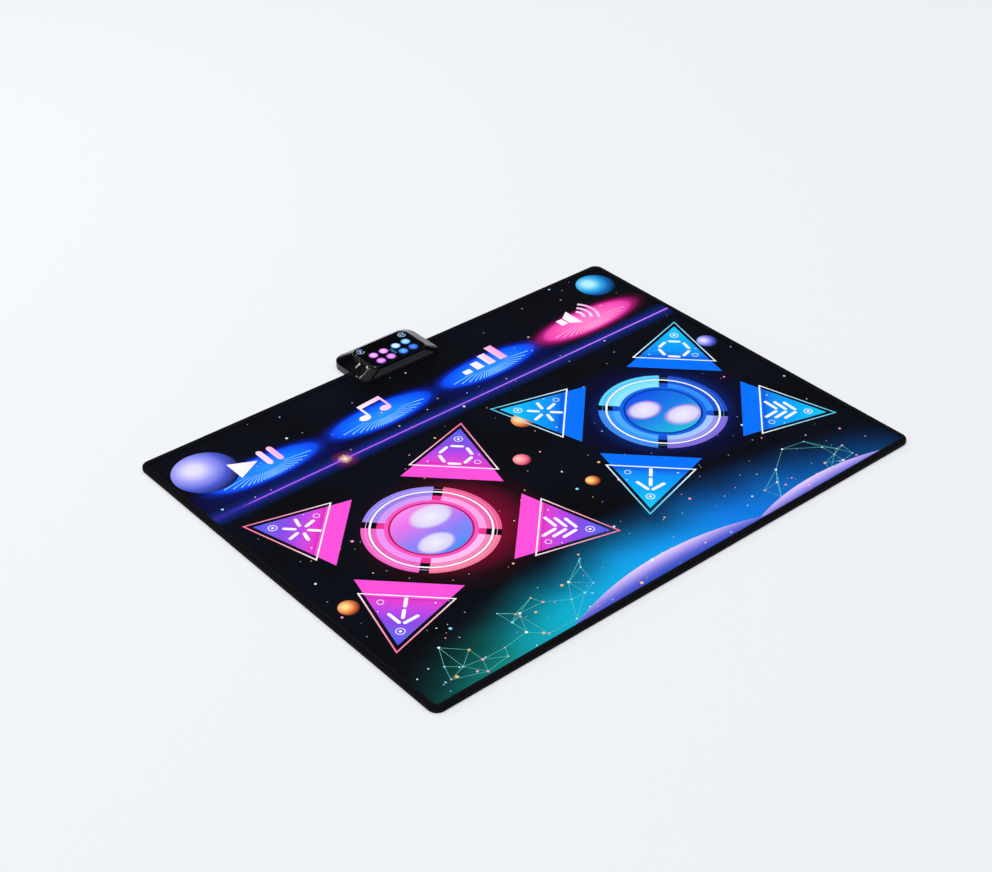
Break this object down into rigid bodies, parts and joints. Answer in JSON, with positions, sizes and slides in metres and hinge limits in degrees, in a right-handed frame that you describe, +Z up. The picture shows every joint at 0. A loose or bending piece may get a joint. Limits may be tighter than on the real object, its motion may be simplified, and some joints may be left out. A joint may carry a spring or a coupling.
{
  "type": "electronic dance mat",
  "caption": "Double electronic dance mat: padded printed sheet with sprung triangular step pads, menu pads and a light and sound console clamped over the far edge.",
  "frame": {"origin": "middle of the mat's underside, where it lies on the floor", "axes": "+X along the long edges, to the right for a dancer who faces the console; +Y towards the console; +Z up"},
  "size_m": [1.2, 0.959, 0.0364],
  "materials": {
    "printed_cover": "printed coated fabric",
    "pink_print": "printed coated fabric, pink to violet",
    "blue_print": "printed coated fabric, blue to cyan",
    "menu_print": "printed coated fabric, blue and violet",
    "edge_tape": "woven tape, stitched",
    "contact_film": "clear polyester film with carbon tracks",
    "foam": "closed-cell foam",
    "backing": "grippy rubber-coated cloth",
    "gloss_shell": "glossy black ABS",
    "matt_shell": "fine-textured black ABS",
    "pink_lens": "lit pink translucent",
    "blue_lens": "lit blue translucent",
    "white_plastic": "white moulded",
    "board": "solder mask",
    "steel": "zinc plated",
    "brass": "plated spring strip",
    "cell": "plain wrapped cell",
    "cone": "pressed paper",
    "foot": "soft rubber"
  },
  "bodies": {
    "mat": {"top_sheet": "printed_cover", "edge_binding": "edge_tape", "upper_contact_film": "contact_film", "spacer_foam": "foam", "lower_contact_film": "contact_film", "cushion_foam": "foam", "anti_slip_backing": "backing", "console_lower_shell": "matt_shell", "console_upper_shell": "gloss_shell", "light_reflector": "white_plastic", "circuit_board": "board", "ribbon_tail": "contact_film", "clamp_plate": "steel", "speaker_frame": "steel", "speaker_cone": "cone", "power_switch_body": "white_plastic", "left_light_front_left": "pink_lens", "left_light_front_right": "pink_lens", "left_light_rear_left": "pink_lens", "left_light_rear_right": "pink_lens", "right_light_front_left": "blue_lens", "right_light_front_right": "blue_lens", "right_light_rear_left": "blue_lens", "right_light_rear_right": "blue_lens", "clamp_screw_left": "steel", "clamp_screw_right": "steel", "case_screw_front_left": "steel", "case_screw_front_right": "steel", "case_screw_rear_left": "steel", "case_screw_rear_right": "steel", "board_screw_front_left": "steel", "board_screw_front_right": "steel", "board_screw_rear_left": "steel", "board_screw_rear_right": "steel", "battery_cell_front": "cell", "battery_cell_middle": "cell", "battery_cell_rear": "cell", "battery_contact_left": "brass", "battery_contact_right": "brass", "rear_foot_left": "foot", "rear_foot_right": "foot"},
    "left_step_pad_upper_left": {"left_step_pad_upper_left": "pink_print"},
    "left_step_pad_upper_right": {"left_step_pad_upper_right": "pink_print"},
    "left_step_pad_lower_left": {"left_step_pad_lower_left": "pink_print"},
    "left_step_pad_lower_right": {"left_step_pad_lower_right": "pink_print"},
    "right_step_pad_upper_left": {"right_step_pad_upper_left": "blue_print"},
    "right_step_pad_upper_right": {"right_step_pad_upper_right": "blue_print"},
    "right_step_pad_lower_left": {"right_step_pad_lower_left": "blue_print"},
    "right_step_pad_lower_right": {"right_step_pad_lower_right": "blue_print"},
    "play_menu_pad": {"play_menu_pad": "menu_print"},
    "mode_menu_pad": {"mode_menu_pad": "menu_print"},
    "level_menu_pad": {"level_menu_pad": "menu_print"},
    "volume_menu_pad": {"volume_menu_pad": "menu_print"},
    "battery_door": {"battery_door": "matt_shell"},
    "power_switch_knob": {"power_switch_knob": "matt_shell"}
  },
  "joints": [
    {"name": "left_step_pad_upper_left_press", "type": "slide", "parent": "mat", "child": "left_step_pad_upper_left", "axis": [0, 0, -1], "range_m": [0, 0.0018], "stiffness_N_per_m": 5000},
    {"name": "left_step_pad_upper_right_press", "type": "slide", "parent": "mat", "child": "left_step_pad_upper_right", "axis": [0, 0, -1], "range_m": [0, 0.0018], "stiffness_N_per_m": 5000},
    {"name": "left_step_pad_lower_left_press", "type": "slide", "parent": "mat", "child": "left_step_pad_lower_left", "axis": [0, 0, -1], "range_m": [0, 0.0018], "stiffness_N_per_m": 5000},
    {"name": "left_step_pad_lower_right_press", "type": "slide", "parent": "mat", "child": "left_step_pad_lower_right", "axis": [0, 0, -1], "range_m": [0, 0.0018], "stiffness_N_per_m": 5000},
    {"name": "right_step_pad_upper_left_press", "type": "slide", "parent": "mat", "child": "right_step_pad_upper_left", "axis": [0, 0, -1], "range_m": [0, 0.0018], "stiffness_N_per_m": 5000},
    {"name": "right_step_pad_upper_right_press", "type": "slide", "parent": "mat", "child": "right_step_pad_upper_right", "axis": [0, 0, -1], "range_m": [0, 0.0018], "stiffness_N_per_m": 5000},
    {"name": "right_step_pad_lower_left_press", "type": "slide", "parent": "mat", "child": "right_step_pad_lower_left", "axis": [0, 0, -1], "range_m": [0, 0.0018], "stiffness_N_per_m": 5000},
    {"name": "right_step_pad_lower_right_press", "type": "slide", "parent": "mat", "child": "right_step_pad_lower_right", "axis": [0, 0, -1], "range_m": [0, 0.0018], "stiffness_N_per_m": 5000},
    {"name": "play_menu_pad_press", "type": "slide", "parent": "mat", "child": "play_menu_pad", "axis": [0, 0, -1], "range_m": [0, 0.0018], "stiffness_N_per_m": 5000},
    {"name": "mode_menu_pad_press", "type": "slide", "parent": "mat", "child": "mode_menu_pad", "axis": [0, 0, -1], "range_m": [0, 0.0018], "stiffness_N_per_m": 5000},
    {"name": "level_menu_pad_press", "type": "slide", "parent": "mat", "child": "level_menu_pad", "axis": [0, 0, -1], "range_m": [0, 0.0018], "stiffness_N_per_m": 5000},
    {"name": "volume_menu_pad_press", "type": "slide", "parent": "mat", "child": "volume_menu_pad", "axis": [0, 0, -1], "range_m": [0, 0.0018], "stiffness_N_per_m": 5000},
    {"name": "battery_door_slide", "type": "slide", "parent": "mat", "child": "battery_door", "axis": [0, 1, 0], "range_m": [0, 0.045]},
    {"name": "power_switch_slide", "type": "slide", "parent": "mat", "child": "power_switch_knob", "axis": [1, 0, 0], "range_m": [0, 0.004]}
  ]
}
